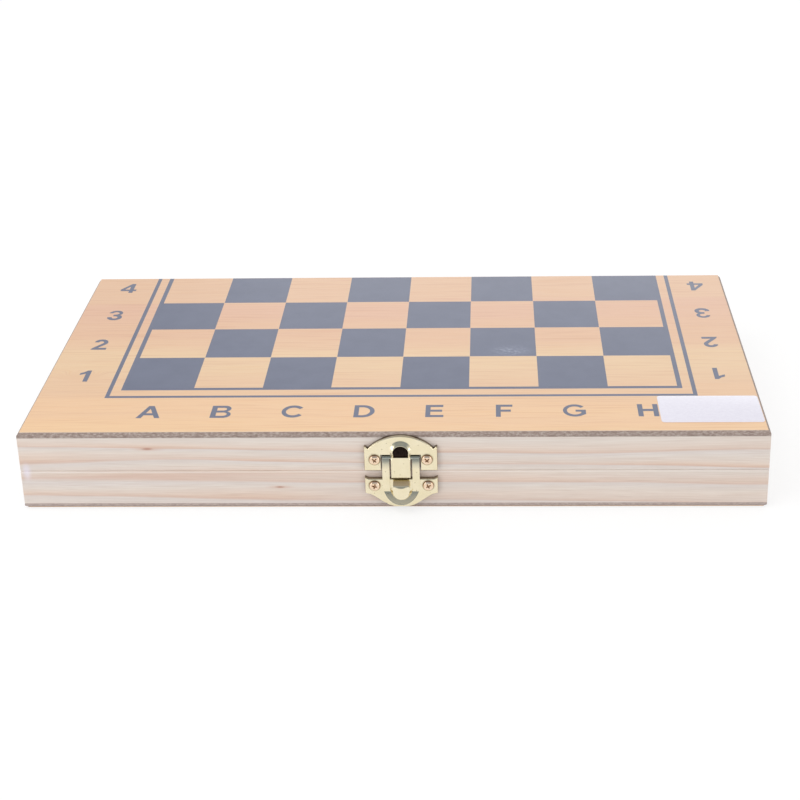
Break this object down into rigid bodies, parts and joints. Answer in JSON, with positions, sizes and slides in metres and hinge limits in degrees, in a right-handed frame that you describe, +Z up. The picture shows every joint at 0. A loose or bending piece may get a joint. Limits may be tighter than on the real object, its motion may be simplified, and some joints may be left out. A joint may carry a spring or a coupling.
{
  "type": "folding games box",
  "caption": "Folding wooden games box with a printed chequered board on both outer faces, lined trays, butt hinges and a swinging-loop latch.",
  "frame": {"origin": "centre of the closed box's underside", "axes": "+X to the right seen from the latch side, -Y towards the latch, +Z up"},
  "size_m": [0.29, 0.156, 0.0335],
  "materials": {
    "fibreboard": "raw fibreboard edge, bevelled",
    "printed_paper": "printed wood-grain paper with a satin varnish",
    "dark_ink": "dark blue-grey print under satin varnish",
    "lining_paper": "printed lining paper",
    "red_ink": "brown-red print",
    "pine": "planed pale pine, unvarnished",
    "brass": "bright pressed brass plate",
    "copper_screws": "coppery plated steel",
    "steel": "drawn wire",
    "label_paper": "blank glossy sticker"
  },
  "bodies": {
    "lower_half": {"lower_board": "fibreboard", "lower_print_sheet": "printed_paper", "lower_print_dark": "dark_ink", "lower_liner": "lining_paper", "lower_points_dark": "dark_ink", "lower_points_red": "red_ink", "lower_front_rail": "pine", "lower_back_rail": "pine", "lower_left_rail": "pine", "lower_right_rail": "pine", "catch_plate": "brass", "catch_screws": "copper_screws", "hinge_left_leaf_lower": "brass", "hinge_right_leaf_lower": "brass", "hinge_left_pin": "steel", "hinge_right_pin": "steel", "hinge_screws_lower": "brass"},
    "lid": {"upper_board": "fibreboard", "upper_print_sheet": "printed_paper", "upper_print_dark": "dark_ink", "upper_liner": "lining_paper", "upper_points_dark": "dark_ink", "upper_points_red": "red_ink", "upper_front_rail": "pine", "upper_back_rail": "pine", "upper_left_rail": "pine", "upper_right_rail": "pine", "latch_plate": "brass", "latch_screws": "copper_screws", "hinge_left_leaf_upper": "brass", "hinge_right_leaf_upper": "brass", "hinge_screws_upper": "brass", "blank_label": "label_paper"},
    "latch_loop": {"latch_loop": "brass"}
  },
  "joints": [
    {"name": "lid_hinge", "type": "hinge", "parent": "lower_half", "child": "lid", "pos_m": [0, 0.0745, 0.0167], "axis": [-1, 0, 0], "range_deg": [0, 180]},
    {"name": "loop_pivot", "type": "hinge", "parent": "lid", "child": "latch_loop", "pos_m": [0.0037, -0.0755, 0.0231], "axis": [-1, 0, 0], "range_deg": [0, 105]}
  ]
}
